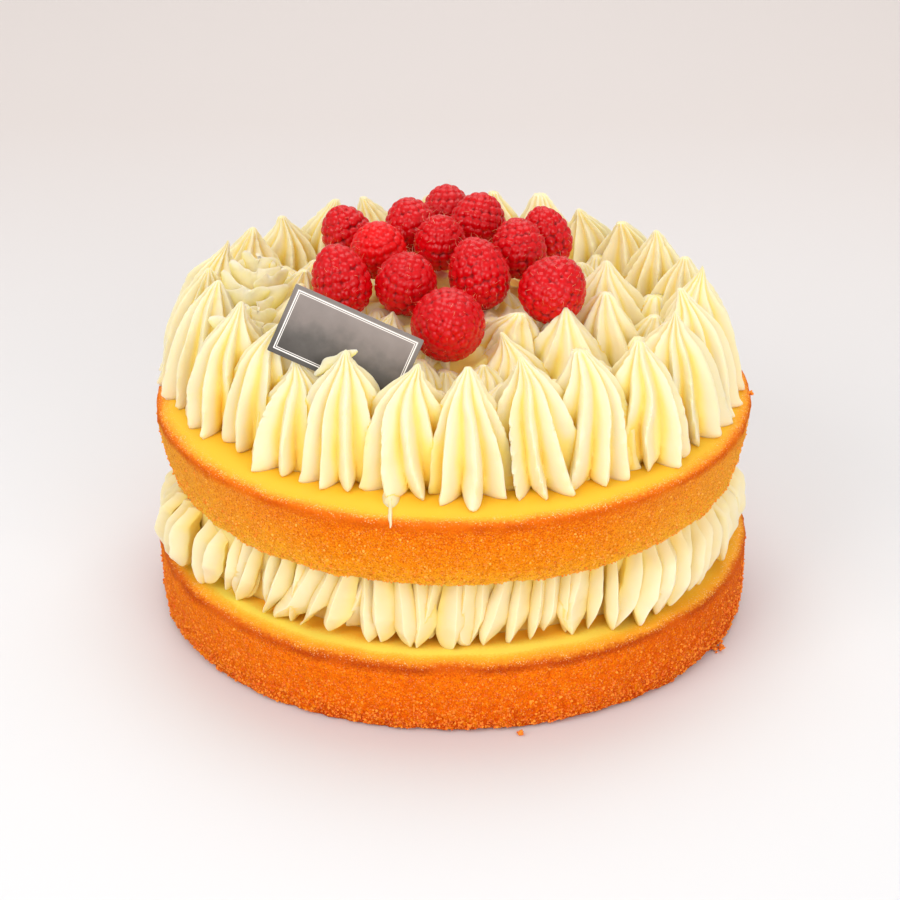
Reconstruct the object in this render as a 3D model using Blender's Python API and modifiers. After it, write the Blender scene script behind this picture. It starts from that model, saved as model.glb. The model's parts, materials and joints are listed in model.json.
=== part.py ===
"""Lemon layer cake: two sponge discs, piped cream between and on top, red berries and a small bare plaque.

Metres, +Z up. The cake stands on the floor plane with its centre on the Z axis, and its front faces -Y.
"""
import bpy
import bmesh
import math
import random
from mathutils import Matrix, Vector

MM = 0.001
SEED = 11

# Driving dimensions of the sponges.
RIM_RADIUS = 90.75 * MM            # lower sponge, widest
LOWER_TOP = 22.5 * MM
UPPER_BOTTOM = 44.0 * MM
UPPER_TOP = 67.3 * MM
UPPER_RIM_RADIUS = 90.0 * MM
UPPER_FOOT_RADIUS = 86.3 * MM      # the upper sponge tapers towards its foot
SPONGE_STEPS = 44
GAP = 0.3 * MM                     # between pieces that touch

# Cream filling between the sponges.
FILLING_TONGUES = 56
FILLING_RADIUS = 80.0 * MM         # reach of the tongues at the front and back
FILLING_BULGES = (                 # (direction in degrees, how much further the tongues reach in mm)
    (-90, 0.0), (-65, 0.5), (-52, 3.0), (-40, 6.0), (-25, 6.5), (-8, 8.5), (0, 6.4), (10, 4.0), (25, 1.0),
    (45, 0.0), (140, 0.0), (165, 2.0), (180, 5.0), (190, 8.5), (199, 13.0), (206, 11.5), (213, 9.2),
    (223, 4.5), (236, 1.5), (270, 0.0),
)
FILLING_VALLEY = 5.0 * MM

# Piped cream on top: two rings of upright fluted dollops round one centre, and a low dome inside them.
RING_CENTRE = Vector((-1.0, 5.0)) * MM
FLUTES = 8
FLUTE_DEPTH = 0.12                 # of the dollop's own radius, either side of the mean
OUTER = {
    "count": 26,
    "first_angle": -85.6,          # degrees
    "ring": Vector((75.0, 70.0)) * MM,        # half axes of the oval through the dollops' feet
    "lean": 3.5 * MM,              # how far a tip leans inwards
    "foot": Vector((12.8, 11.5)) * MM,        # half widths of a foot, along and across the ring's radius
    "height": 37.0 * MM,
    "back_drop": 4.5 * MM,         # how much lower the dollops at the back are
    "swell": ((0.0, 0.97), (0.17, 1.02), (0.50, 0.83), (0.83, 0.40)),   # (height, width) shares
    "shifts": ((-135.0, 28.0, -3.2), (-42.0, 30.0, 2.2)),   # steps in or out: direction, spread, mm
}
INNER = {
    "count": 15,
    "first_angle": -67.0,
    "ring": Vector((48.0, 42.5)) * MM,
    "lean": 2.0 * MM,
    "foot": Vector((14.6, 12.4)) * MM,
    "height": 37.0 * MM,
    "back_drop": 3.0 * MM,
    "swell": ((0.0, 1.10), (0.20, 1.03), (0.55, 0.76), (0.83, 0.38)),
    "shifts": ((-68.0, 20.0, -4.5),),
}
DOME_PROFILE = (                   # (radius, height), mm
    (0.0, 33.0), (22.0, 31.0), (34.0, 25.0), (46.0, 18.0), (58.0, 17.0), (66.0, 13.0),
)
DOME_COLUMNS = 20
PLAQUE_PRESS = 30.0 * MM           # height of a dollop that the plaque rests on
PRESS_REACH = {"plaque": 9.0 * MM, "berry": 10.0 * MM}   # how near a tip has to be to get pressed down

# Berries: (x, y, z of the middle, half width, half length, tilt from upright, direction of the tilt), mm and degrees.
BERRIES = (
    (-33.0, 26.0, 106.5, 7.8, 8.4, 25, 160),
    (-22.5, 9.5, 107.4, 8.6, 9.0, 20, 250),
    (-13.0, 29.5, 107.1, 8.3, 9.0, 35, 120),
    (-2.0, 46.5, 104.7, 8.0, 9.0, 30, 90),
    (7.6, 32.0, 107.5, 8.7, 9.2, 25, 60),
    (-4.0, 14.0, 107.7, 8.1, 8.8, 10, 270),
    (28.4, 26.5, 104.9, 7.4, 9.6, 25, 150),
    (19.5, 11.5, 107.1, 8.4, 9.4, 30, 110),
    (-33.3, -8.5, 105.1, 8.8, 11.2, 22, 140),
    (-13.8, -9.0, 104.3, 9.3, 9.8, 20, 300),
    (7.1, -3.2, 105.1, 9.2, 11.1, 25, 130),
    (-1.6, -28.4, 99.9, 10.9, 12.0, 65, 270),
    (29.6, -12.5, 103.9, 10.0, 10.4, 35, 20),
)
BERRY_COLUMNS = 16
BERRY_ROWS = 8
DRUPELET_RELIEF = 0.07             # of the berry's half width
BERRY_BED = 0.5 * MM               # clearance between a berry and the cream it sinks into
BED_SHARE = 1.08                   # the bed is faceted, so it is also a little larger in proportion

# Plaque: a thin card that leans back against the cream.
PLAQUE_SIZE = Vector((39.5, 20.5, 0.8)) * MM
PLAQUE_CENTRE = Vector((-30.5, -44.0, 100.2)) * MM
PLAQUE_LEAN = math.radians(26.0)
PLAQUE_ROLL = math.radians(-24.0)

COLOURS = {
    "sponge": (0.93, 0.40, 0.06, 1.0),
    "cream": (0.96, 0.85, 0.50, 1.0),
    "berry": (0.62, 0.02, 0.03, 1.0),
    "plaque": (0.30, 0.28, 0.27, 1.0),
}


def clear_scene():
    for item in list(bpy.data.objects):
        bpy.data.objects.remove(item, do_unlink=True)


def new_collection(name):
    collection = bpy.data.collections.new(name)
    bpy.context.scene.collection.children.link(collection)
    return collection


def new_material(name, colour, roughness, metallic=0.0):
    material = bpy.data.materials.new(name)
    material.use_nodes = True
    shader = material.node_tree.nodes["Principled BSDF"]
    shader.inputs["Base Color"].default_value = colour
    shader.inputs["Roughness"].default_value = roughness
    shader.inputs["Metallic"].default_value = metallic
    return material


def add_object(name, mesh, collection, material=None):
    item = bpy.data.objects.new(name, mesh)
    collection.objects.link(item)
    if material:
        mesh.materials.append(material)
    return item


def evaluated_copy(item):
    """The mesh of an object with its modifiers applied."""
    bpy.context.view_layer.update()
    graph = bpy.context.evaluated_depsgraph_get()
    return bpy.data.meshes.new_from_object(item.evaluated_get(graph))


def turned(name, profile, collection, material):
    """A solid turned round Z from (radius, height) points that run from the top of the axis to its foot."""
    mesh = bpy.data.meshes.new(name)
    points = [(radius, 0.0, height) for radius, height in profile]
    mesh.from_pydata(points, [(i, i + 1) for i in range(len(points) - 1)], [])
    item = add_object(name, mesh, collection, material)
    screw = item.modifiers.new("Turn", "SCREW")
    screw.axis = "Z"
    screw.steps = SPONGE_STEPS
    screw.render_steps = SPONGE_STEPS
    screw.use_merge_vertices = True
    screw.merge_threshold = 0.00001
    return item


def loft(name, rings, tip=None, checkered=False):
    """A closed mesh through rings of equal length, lowest first, shut by a fan below and by a tip or a fan above.

    Checkered rings have every other point raised, and their faces are split so that each raised point is a peak.
    """
    count = len(rings[0])
    points = [Vector(point) for ring in rings for point in ring]
    foot_index = len(points)
    crown_index = foot_index + 1
    foot = sum(points[:count], Vector()) / count
    crown = Vector(tip) if tip else sum(points[-count:], Vector()) / count
    points += [foot, crown]
    last = (len(rings) - 1) * count
    faces = []
    for column in range(count):
        following = (column + 1) % count
        faces.append((foot_index, following, column))
        faces.append((crown_index, last + column, last + following))
        for level in range(len(rings) - 1):
            low = level * count
            high = low + count
            corners = (low + column, low + following, high + following, high + column)
            if not checkered:
                faces.append(corners)
                continue
            turn = (level + column) % 2
            corners = corners[turn:] + corners[:turn]
            faces.append((corners[0], corners[1], corners[2]))
            faces.append((corners[0], corners[2], corners[3]))
    mesh = bpy.data.meshes.new(name)
    mesh.from_pydata([tuple(point) for point in points], [], faces)
    return mesh


def dollop_mesh(foot, lean, azimuth, half_widths, height, swell, phase, twist):
    """A fluted kiss of cream: an oval foot, a swelling body with lobes, and a tip that leans by a vector."""
    along = Vector((math.cos(azimuth), math.sin(azimuth)))
    across = Vector((-along.y, along.x))
    columns = FLUTES * 2
    rings = []
    for share, width in swell:
        centre = foot.to_2d() + lean * share ** 1.5
        ring = []
        for column in range(columns):
            angle = 2 * math.pi * column / columns + phase + twist * share
            lobe = 1.0 if column % 2 == 0 else 1.0 - 2 * FLUTE_DEPTH
            reach = along * (half_widths.x * math.cos(angle)) + across * (half_widths.y * math.sin(angle))
            point = centre + reach * (width * lobe)
            ring.append((point.x, point.y, foot.z + height * share))
        rings.append(ring)
    top = foot.to_2d() + lean
    return loft("dollop", rings, (top.x, top.y, foot.z + height))


def ring_of_dollops(row, draw, collection):
    """Dollops spread evenly round an oval ring, each a little different from its neighbours."""
    step = 2 * math.pi / row["count"]
    for index in range(row["count"]):
        angle = math.radians(row["first_angle"]) + step * (index + draw.uniform(-0.08, 0.08))
        away = Vector((math.cos(angle), math.sin(angle)))
        place = RING_CENTRE + Vector((row["ring"].x * away.x, row["ring"].y * away.y))
        place += away * draw.uniform(-1.2, 1.2) * MM
        place += away * ring_shift(angle, row["shifts"]) * MM
        sideways = Vector((-away.y, away.x)) * draw.uniform(-2.0, 2.0) * MM
        lean = sideways - away * (row["lean"] + draw.uniform(-1.5, 1.5) * MM)
        widths = row["foot"] * draw.uniform(0.95, 1.06)
        sunk = draw.uniform(1.0, 2.2) * MM
        tall = row["height"] - row["back_drop"] * max(0.0, away.y) + draw.uniform(-1.8, 1.4) * MM
        tall = pressed_height(place + lean, tall)
        foot = Vector((place.x, place.y, UPPER_TOP - sunk))
        phase = draw.uniform(0.0, 2 * math.pi / FLUTES)
        twist = draw.uniform(-0.5, 0.5)
        mesh = dollop_mesh(foot, lean, angle, widths, tall + sunk, row["swell"], phase, twist)
        add_object("dollop", mesh, collection)


def ring_shift(angle, shifts):
    """How far a ring steps in or out at an angle: a bell curve round each named direction, in mm."""
    total = 0.0
    for middle, spread, amount in shifts:
        off = (math.degrees(angle) - middle + 180.0) % 360.0 - 180.0
        total += amount * math.exp(-(off / spread) ** 2)
    return total


def pressed_height(tip, tall):
    """The height left to a dollop whose tip lies under a berry or under the plaque's lower left corner."""
    corner = PLAQUE_CENTRE.to_2d() + Vector((-18.0, -4.0)) * MM
    if (tip - corner).length < PRESS_REACH["plaque"]:
        tall = min(tall, PLAQUE_PRESS)
    for x, y, z, _, half_length, _, _ in BERRIES:
        if (tip - Vector((x, y)) * MM).length < PRESS_REACH["berry"]:
            tall = min(tall, (z - 0.75 * half_length) * MM - UPPER_TOP)
    return tall


def dome_mesh():
    """The cream inside the rings, a low dome that the berries sink into."""
    rings = []
    for radius, height in reversed(DOME_PROFILE[1:]):
        ring = []
        for column in range(DOME_COLUMNS):
            angle = 2 * math.pi * column / DOME_COLUMNS
            ring.append((
                RING_CENTRE.x + radius * MM * math.cos(angle),
                RING_CENTRE.y + radius * MM * math.sin(angle),
                UPPER_TOP + height * MM,
            ))
        rings.append(ring)
    below = [(x, y, UPPER_TOP - 1.5 * MM) for x, y, _ in rings[0]]
    rings.insert(0, below)
    return loft("dome", rings, (RING_CENTRE.x, RING_CENTRE.y, UPPER_TOP + DOME_PROFILE[0][1] * MM))


def boolean(item, operation, collection, solver):
    modifier = item.modifiers.new("Boolean", "BOOLEAN")
    modifier.operation = operation
    modifier.solver = solver
    modifier.operand_type = "COLLECTION"
    modifier.collection = collection
    item.data = evaluated_copy(item)
    item.modifiers.clear()
    for other in list(collection.objects):
        bpy.data.objects.remove(other, do_unlink=True)


def drop_scraps(mesh):
    """Keep only the largest connected piece of a mesh."""
    work = bmesh.new()
    work.from_mesh(mesh)
    unseen = set(work.verts)
    islands = []
    while unseen:
        stack = [unseen.pop()]
        island = set(stack)
        while stack:
            for edge in stack.pop().link_edges:
                for vertex in edge.verts:
                    if vertex in unseen:
                        unseen.remove(vertex)
                        island.add(vertex)
                        stack.append(vertex)
        islands.append(island)
    largest = max(islands, key=len)
    scraps = [vertex for vertex in work.verts if vertex not in largest]
    bmesh.ops.delete(work, geom=scraps, context="VERTS")
    work.to_mesh(mesh)
    work.free()


def berry_matrix(berry):
    x, y, z, _, _, tilt, direction = berry
    turn = Matrix.Rotation(math.radians(direction), 4, "Z") @ Matrix.Rotation(math.radians(tilt), 4, "Y")
    return Matrix.Translation(Vector((x, y, z)) * MM) @ turn


def berry_mesh(name, half_width, half_length):
    """A blunt egg with its tip up, raised at every other grid point so that it reads as rows of drupelets."""
    rings = []
    for row in range(1, BERRY_ROWS):
        polar = math.pi * (1.0 - row / BERRY_ROWS)
        ring = []
        for column in range(BERRY_COLUMNS):
            angle = 2 * math.pi * column / BERRY_COLUMNS
            bump = DRUPELET_RELIEF * (1 if (row + column) % 2 else -1)
            taper = 1.0 - 0.10 * math.cos(polar)
            radius = half_width * math.sin(polar) * taper * (1.0 - DRUPELET_RELIEF + bump)
            height = half_length * math.cos(polar) * (1.0 - DRUPELET_RELIEF + bump)
            ring.append((radius * math.cos(angle), radius * math.sin(angle), height))
        rings.append(ring)
    return loft(name, rings, (0.0, 0.0, half_length * 0.96), checkered=True)


def berry_cutter(berry, collection):
    """A smooth egg a little larger than the berry, which makes its bed in the cream."""
    work = bmesh.new()
    bmesh.ops.create_icosphere(work, subdivisions=2, radius=1.0)
    mesh = bpy.data.meshes.new("bed")
    work.to_mesh(mesh)
    work.free()
    half_width = berry[3] * MM * BED_SHARE + BERRY_BED
    half_length = berry[4] * MM * BED_SHARE + BERRY_BED
    mesh.transform(berry_matrix(berry) @ Matrix.Diagonal((half_width, half_width, half_length, 1.0)))
    add_object("bed", mesh, collection)


def box_mesh(name, size):
    work = bmesh.new()
    bmesh.ops.create_cube(work, size=1.0)
    bmesh.ops.scale(work, vec=size, verts=work.verts)
    mesh = bpy.data.meshes.new(name)
    work.to_mesh(mesh)
    work.free()
    return mesh


def plaque_matrix():
    """The card stands in the XZ plane, rolls in its own plane and then leans back."""
    stand = Matrix.Rotation(math.radians(90.0), 4, "X")
    roll = Matrix.Rotation(-PLAQUE_ROLL, 4, "Y")
    lean = Matrix.Rotation(-PLAQUE_LEAN, 4, "X")
    return Matrix.Translation(PLAQUE_CENTRE) @ lean @ roll @ stand


def build_sponges(parts, material):
    lower = (
        (0.0, LOWER_TOP),
        (84.0 * MM, LOWER_TOP),
        (88.3 * MM, LOWER_TOP - 0.1 * MM),
        (90.1 * MM, LOWER_TOP - 1.0 * MM),
        (RIM_RADIUS, LOWER_TOP - 3.0 * MM),
        (90.4 * MM, 9.0 * MM),
        (90.1 * MM, 2.6 * MM),
        (89.2 * MM, 0.8 * MM),
        (87.4 * MM, 0.0),
        (0.0, 0.0),
    )
    turned("sponge_lower", lower, parts, material)
    upper = (
        (0.0, UPPER_TOP),
        (84.0 * MM, UPPER_TOP),
        (87.8 * MM, UPPER_TOP - 0.1 * MM),
        (89.5 * MM, UPPER_TOP - 1.0 * MM),
        (UPPER_RIM_RADIUS, UPPER_TOP - 2.8 * MM),
        (88.6 * MM, 56.0 * MM),
        (UPPER_FOOT_RADIUS, 48.0 * MM),
        (85.0 * MM, 45.2 * MM),
        (82.6 * MM, UPPER_BOTTOM),
        (0.0, UPPER_BOTTOM),
    )
    turned("sponge_upper", upper, parts, material)


def filling_bulge(angle):
    """Extra reach of the tongues in a direction, read between the rows of FILLING_BULGES."""
    degrees = (math.degrees(angle) + 90) % 360 - 90
    for (low, start), (high, end) in zip(FILLING_BULGES, FILLING_BULGES[1:]):
        if degrees <= high:
            return (start + (end - start) * (degrees - low) / (high - low)) * MM
    return 0.0


def build_filling(parts, material):
    """A full disc of cream whose side is a row of squashed tongues, longer at the front left and front right."""
    draw = random.Random(SEED)
    heights = (LOWER_TOP + GAP, LOWER_TOP + 2.5 * MM, 30.0 * MM, 37.5 * MM, UPPER_BOTTOM - GAP)
    reach_shares = (1.0, 1.015, 1.0, 0.985, 0.955)
    columns = FILLING_TONGUES * 2
    slants = [draw.uniform(-0.5, 0.5) for _ in range(FILLING_TONGUES)]
    lengths = [draw.uniform(-1.6, 1.2) * MM for _ in range(FILLING_TONGUES)]
    rings = []
    for height, share in zip(heights, reach_shares):
        rise = (height - heights[0]) / (heights[-1] - heights[0])
        ring = []
        for column in range(columns):
            tongue = column // 2
            slant = slants[tongue] * rise * math.pi / columns
            angle = 2 * math.pi * column / columns + slant
            reach = FILLING_RADIUS + filling_bulge(angle)
            if column % 2:
                reach -= FILLING_VALLEY
            else:
                reach += lengths[tongue]
            ring.append((reach * share * math.cos(angle), reach * share * math.sin(angle), height))
        rings.append(ring)
    add_object("cream_filling", loft("cream_filling", rings), parts, material)


def build_topping(parts, cutters, material):
    """Dollops and dome joined into one solid, then cut flat below and hollowed round the berries and the plaque."""
    draw = random.Random(SEED)
    item = add_object("cream_topping", dome_mesh(), parts, material)
    ring_of_dollops(INNER, draw, cutters)
    ring_of_dollops(OUTER, draw, cutters)
    boolean(item, "UNION", cutters, "MANIFOLD")
    for berry in BERRIES:
        berry_cutter(berry, cutters)
    slot = box_mesh("slot", PLAQUE_SIZE + Vector((0.7, 0.7, 0.7)) * MM)
    slot.transform(plaque_matrix())
    add_object("slot", slot, cutters)
    floor_size = Vector((200.0, 200.0, 10.0)) * MM
    floor = box_mesh("floor", floor_size)
    floor.transform(Matrix.Translation((0.0, 0.0, UPPER_TOP + GAP - floor_size.z / 2)))
    add_object("floor", floor, cutters)
    boolean(item, "DIFFERENCE", cutters, "MANIFOLD")
    drop_scraps(item.data)


def build_berries(parts, material):
    for index, berry in enumerate(BERRIES):
        name = f"berry_{index + 1:02d}"
        item = add_object(name, berry_mesh(name, berry[3] * MM, berry[4] * MM), parts, material)
        item.matrix_world = berry_matrix(berry)


def build_plaque(parts, material):
    item = add_object("plaque", box_mesh("plaque", PLAQUE_SIZE), parts, material)
    item.matrix_world = plaque_matrix()


def main():
    clear_scene()
    parts = new_collection("lemon_cake")
    cutters = new_collection("cutters")
    sponge = new_material("sponge", COLOURS["sponge"], 0.75)
    cream = new_material("cream", COLOURS["cream"], 0.45)
    berry = new_material("berry", COLOURS["berry"], 0.35)
    card = new_material("plaque", COLOURS["plaque"], 0.35, 0.4)
    build_sponges(parts, sponge)
    build_filling(parts, cream)
    build_topping(parts, cutters, cream)
    build_berries(parts, berry)
    build_plaque(parts, card)


main()
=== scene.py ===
"""Dresses the lemon layer cake: crumbly sponges, piped cream, red berries and a bare card plaque.

All shapes are worked out in millimetres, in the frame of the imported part, and become metres in build_mesh.
"""
import json
import math
import random

import bpy
import numpy as np
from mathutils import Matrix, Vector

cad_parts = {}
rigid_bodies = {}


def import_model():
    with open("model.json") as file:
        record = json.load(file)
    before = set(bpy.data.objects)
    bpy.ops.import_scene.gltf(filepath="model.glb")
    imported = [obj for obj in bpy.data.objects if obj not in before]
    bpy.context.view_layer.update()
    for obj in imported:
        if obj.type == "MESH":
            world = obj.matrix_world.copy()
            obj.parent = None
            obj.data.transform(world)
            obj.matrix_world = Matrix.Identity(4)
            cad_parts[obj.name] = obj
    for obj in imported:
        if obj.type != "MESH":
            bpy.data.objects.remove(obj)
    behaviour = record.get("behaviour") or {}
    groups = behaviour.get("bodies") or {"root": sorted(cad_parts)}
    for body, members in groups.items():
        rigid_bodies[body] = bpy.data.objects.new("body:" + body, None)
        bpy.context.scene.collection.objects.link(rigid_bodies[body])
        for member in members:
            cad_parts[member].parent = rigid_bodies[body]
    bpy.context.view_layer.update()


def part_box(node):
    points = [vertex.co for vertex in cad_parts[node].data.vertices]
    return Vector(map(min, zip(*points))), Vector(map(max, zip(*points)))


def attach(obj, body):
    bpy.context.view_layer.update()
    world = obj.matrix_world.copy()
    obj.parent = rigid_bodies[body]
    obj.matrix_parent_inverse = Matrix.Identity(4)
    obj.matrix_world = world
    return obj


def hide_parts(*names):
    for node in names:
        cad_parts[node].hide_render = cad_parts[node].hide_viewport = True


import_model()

MM = 0.001
TAU = 2 * math.pi


def node_box(node):
    """Lowest and highest corner of a CAD node, in millimetres."""
    low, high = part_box(node)
    return np.array(low) / MM, np.array(high) / MM


LOWER_LOW, LOWER_HIGH = node_box("sponge_lower")
UPPER_LOW, UPPER_HIGH = node_box("sponge_upper")
LOWER_TOP = LOWER_HIGH[2]
LOWER_RIM = (LOWER_HIGH[0] - LOWER_LOW[0]) / 2
UPPER_TOP = UPPER_HIGH[2]
UPPER_BOTTOM = UPPER_LOW[2]
UPPER_RIM = (UPPER_HIGH[0] - UPPER_LOW[0]) / 2

# The piped rows follow the same rule and the same draws as the solid that they stand for. A row has its number of
# dollops, the direction of the first in degrees, the ring's half widths, how far tips lean in, a foot's half widths
# out and across, the height and how much lower it is at the back, how far a foot spreads outside and inside as a
# share of its width, and steps in or out: direction, spread and millimetres.
SEED = 11
RING_CENTRE = np.array((-1.0, 4.6))
FLUTES = 8
OUTER = {
    "count": 26, "first_angle": -85.6, "ring": np.array((75.0, 70.0)), "lean": 3.5,
    "foot": np.array((12.8, 11.5)), "height": 37.0, "back_drop": 0.5, "skirt": (0.02, 0.42),
    "shifts": ((-142.0, 30.0, -4.6), (-42.0, 30.0, 2.2)),
}
INNER = {
    "count": 15, "first_angle": -67.0, "ring": np.array((48.0, 42.5)), "lean": 2.0,
    "foot": np.array((14.6, 12.4)), "height": 37.0, "back_drop": 0.5, "skirt": (0.34, 0.26),
    "shifts": ((-68.0, 20.0, -4.5),),
}
SADDLE = {
    "count": 21, "first_angle": -94.0, "ring": np.array((61.5, 56.5)), "lean": 0.0,
    "foot": np.array((11.0, 10.6)), "height": 23.5, "back_drop": 1.0, "skirt": (0.0, 0.0),
    "shifts": ((-135.0, 28.0, -3.0),),
}
CROWN = {
    "count": 9, "first_angle": -98.0, "ring": np.array((29.5, 25.5)), "lean": 1.0,
    "foot": np.array((11.8, 10.6)), "height": 25.0, "back_drop": 0.0, "skirt": (0.2, 0.2),
    "shifts": (),
}
CROWN_FOOT = 6.0
CROWN_TALLEST = 24.0
# An edge of cream stays sharp past this angle, in degrees.
SHARP = 48
DOME_PROFILE = ((0.0, 28.0), (22.0, 26.0), (34.0, 19.0), (46.0, 13.0), (58.0, 12.0), (66.0, 9.0))
PLAQUE_PRESS = 30.0
PRESS_REACH = {"plaque": 9.0, "berry": 10.0}
PLAQUE_SIZE = np.array((39.5, 20.5, 0.8))
PLAQUE_CENTRE = np.array((-30.5, -44.0, 100.2))
PLAQUE_LEAN = 26.0
PLAQUE_ROLL = -24.0

# Low mounds that fill the gaps round the front berry: place, foot over the sponge, height, half widths.
FILLERS = (
    ((-9.5, -38.0), 8.0, 18.0, (8.5, 8.5)),
    ((-19.0, -17.0), 13.0, 18.5, (8.0, 8.0)),
    ((8.5, -39.0), 6.0, 20.0, (8.0, 8.5)),
    ((17.0, -21.0), 12.0, 22.0, (7.0, 12.0)),
    ((28.0, 17.0), 10.0, 22.0, (8.0, 8.0)),
    ((14.5, 0.0), 14.0, 18.5, (6.5, 8.5)),
)
# Curls of cream: half width, half thickness, then the points that they run through. First a nest of folds on
# the left with ruffles in front of it, all part of the crown.
NEST_CURLS = (
    (4.4, 1.0, (-68.8, 3.0, 103.0), (-65.8, -0.6, 98.0), (-60.3, -3.4, 95.5), (-54.3, -4.2, 96.0),
     (-49.0, -1.0, 100.0)),
    (4.4, 1.0, (-66.5, 6.0, 105.0), (-62.1, 2.0, 100.0), (-56.7, 1.2, 99.5), (-51.6, 5.3, 103.0)),
    (4.4, 1.0, (-63.0, 10.5, 106.0), (-58.6, 6.5, 101.5), (-53.0, 8.5, 104.0)),
    (3.2, 1.1, (-61.5, -12.0, 98.5), (-57.5, -16.0, 95.0), (-52.0, -14.0, 97.5)),
    (3.2, 1.1, (-60.0, -16.5, 96.0), (-56.0, -20.5, 92.5), (-51.0, -19.0, 95.0)),
)
# A smear from one tip across the plaque's lower edge, and a torn toe with a thread that hangs over the rim.
BORDER_CURLS = (
    (1.7, 0.8, (-26.8, -55.2, 103.6), (-31.5, -53.4, 100.6), (-35.8, -52.3, 97.4), (-39.0, -52.0, 94.6)),
    (1.6, 3.4, (-17.6, -68.0, 69.4), (-17.5, -73.0, 68.0), (-17.4, -77.0, 67.2), (-17.4, -80.0, 66.8)),
    (0.6, 0.8, (-17.4, -76.0, 68.4), (-17.5, -81.0, 67.6), (-17.3, -86.0, 67.4), (-17.3, -89.6, 66.2)),
)

# Short ruffles strewn over the nest of folds on the left.
NEST_RUFFLES = 5
NEST_CENTRE = (-58.5, -5.0)
NEST_HALF = (6.0, 17.0)
NEST_FOOT = 93.5
NEST_TOP = 102.0

# Filling: tongues of cream in fans, reaching further at the front left and front right than elsewhere.
FILLING_FANS = 25
FAN_TONGUES = 4
FILLING_RADIUS = 80.0
CORE_MOST = 83.2
FILLING_BULGES = (   # (direction in degrees, how much further the tongues reach in mm)
    (-90, 0.0), (-65, 0.5), (-52, 3.0), (-40, 6.0), (-25, 6.5), (-8, 8.5), (0, 6.4), (10, 4.0), (25, 1.0),
    (45, 0.0), (140, 0.0), (165, 2.0), (180, 5.0), (190, 8.5), (199, 13.0), (206, 11.5), (213, 9.2),
    (223, 4.5), (236, 1.5), (270, 0.0),
)

# Berries: half width, half length, tilt from upright and direction of the tilt; the places come from the frame.
BERRIES = (
    (7.8, 8.4, 25, 160),
    (8.6, 9.0, 20, 250),
    (8.3, 9.0, 35, 120),
    (8.0, 9.0, 30, 90),
    (8.7, 9.2, 25, 60),
    (8.1, 8.8, 10, 270),
    (7.4, 9.6, 25, 150),
    (8.4, 9.4, 30, 110),
    (8.8, 11.2, 22, 140),
    (9.3, 9.8, 20, 300),
    (9.2, 11.1, 25, 130),
    (10.9, 12.0, 65, 270),
    (10.0, 10.4, 35, 20),
)
BRIGHT_BERRY = 2
SPONGE_COLUMNS = 1100
HAIRS_PER_BERRY = 46


def berry_middle(number):
    """The middle of a berry, numbered from 1, in millimetres."""
    return sum(node_box(f"berry_{number:02d}")) / 2


# ---------------- numbers

def smooth_noise(points, cell, seed):
    """Random numbers on a cubic lattice of that cell size, blended by the smooth step t*t*(3-2t); -1 to 1."""
    lattice = np.random.default_rng(seed).uniform(-1, 1, (32, 32, 32))
    place = points / cell
    base = np.floor(place).astype(int)
    t = place - base
    smooth = t * t * (3 - 2 * t)
    total = np.zeros(points.shape[:-1])
    for corner in range(8):
        step = np.array((corner & 1, corner >> 1 & 1, corner >> 2))
        index = (base + step) % 32
        weight = np.where(step, smooth, 1 - smooth).prod(axis=-1)
        total += weight * lattice[index[..., 0], index[..., 1], index[..., 2]]
    return total


def layered_noise(points, cell, seed, layers=3):
    """Smooth noise summed over cells that halve in size and in weight."""
    total = sum(smooth_noise(points, cell / 2 ** k, seed + k) / 2 ** k for k in range(layers))
    return total / (2 - 0.5 ** (layers - 1))


def smooth_step(low, high, value):
    """0 below low, 1 above high, and t*t*(3-2t) between them."""
    t = np.clip((value - low) / (high - low), 0, 1)
    return t * t * (3 - 2 * t)


def around(radius, angle, height):
    """Points round the upright axis: (radius * cos(angle), radius * sin(angle), height)."""
    return np.stack(np.broadcast_arrays(radius * np.cos(angle), radius * np.sin(angle), height), axis=-1)


def full_turn(count):
    """That many even angles round a circle."""
    return np.linspace(0, TAU, count, endpoint=False)


def unit(vectors):
    """The vectors, all made 1 long."""
    return vectors / np.linalg.norm(vectors, axis=-1, keepdims=True)


def moving_mean(values, reach, **past_ends):
    """Each value averaged with its neighbours up to that reach.

    The line runs on straight past its ends, unless np.pad's settings say otherwise.
    """
    padded = np.pad(values, reach, **(past_ends or {"mode": "reflect", "reflect_type": "odd"}))
    return np.convolve(padded, np.ones(2 * reach + 1) / (2 * reach + 1), mode="valid")


def turn_matrix(degrees, axis):
    """The 3 by 3 matrix of a turn about X, Y or Z."""
    c, s = math.cos(math.radians(degrees)), math.sin(math.radians(degrees))
    i, j = {"X": (1, 2), "Y": (2, 0), "Z": (0, 1)}[axis]
    matrix = np.eye(3)
    matrix[i, i] = matrix[j, j] = c
    matrix[i, j], matrix[j, i] = -s, s
    return matrix


# ---------------- meshes

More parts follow.
